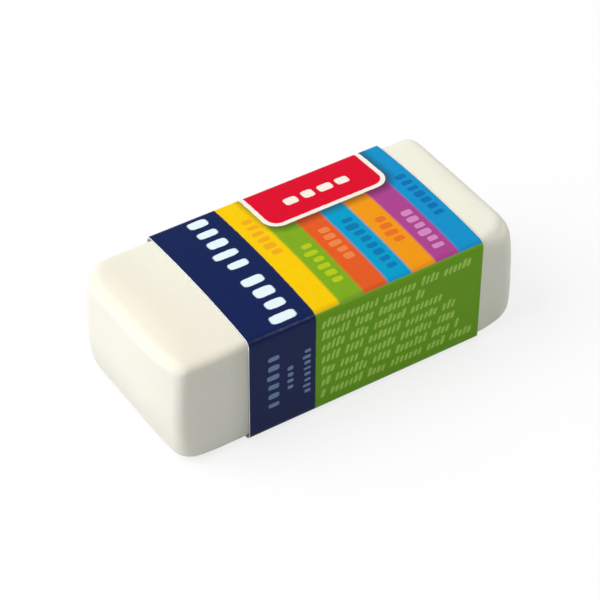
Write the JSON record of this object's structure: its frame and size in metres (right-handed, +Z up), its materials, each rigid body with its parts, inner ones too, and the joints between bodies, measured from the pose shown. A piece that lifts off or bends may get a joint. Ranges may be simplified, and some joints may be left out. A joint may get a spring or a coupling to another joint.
{
  "type": "rubber eraser",
  "caption": "Small white vinyl eraser block with soft rounded edges, in a printed folded card sleeve that slides along it.",
  "frame": {"origin": "on the table, below the middle of the block's length and of the sleeve's width", "axes": "+X along the eraser towards the end with the shorter bare length, +Z up, -Y towards the whole side wall of the sleeve and +Y towards its glued one"},
  "size_m": [0.0398, 0.0186, 0.013],
  "materials": {
    "white_vinyl": "matt, moulded",
    "printed_card": "coated, printed, satin"
  },
  "bodies": {
    "block": {"eraser_block": "white_vinyl"},
    "sleeve": {"card_sleeve": "printed_card"}
  },
  "joints": [
    {"name": "sleeve_slide", "type": "slide", "parent": "block", "child": "sleeve", "axis": [1, 0, 0], "range_m": [-0.0081, 0.0049]}
  ]
}
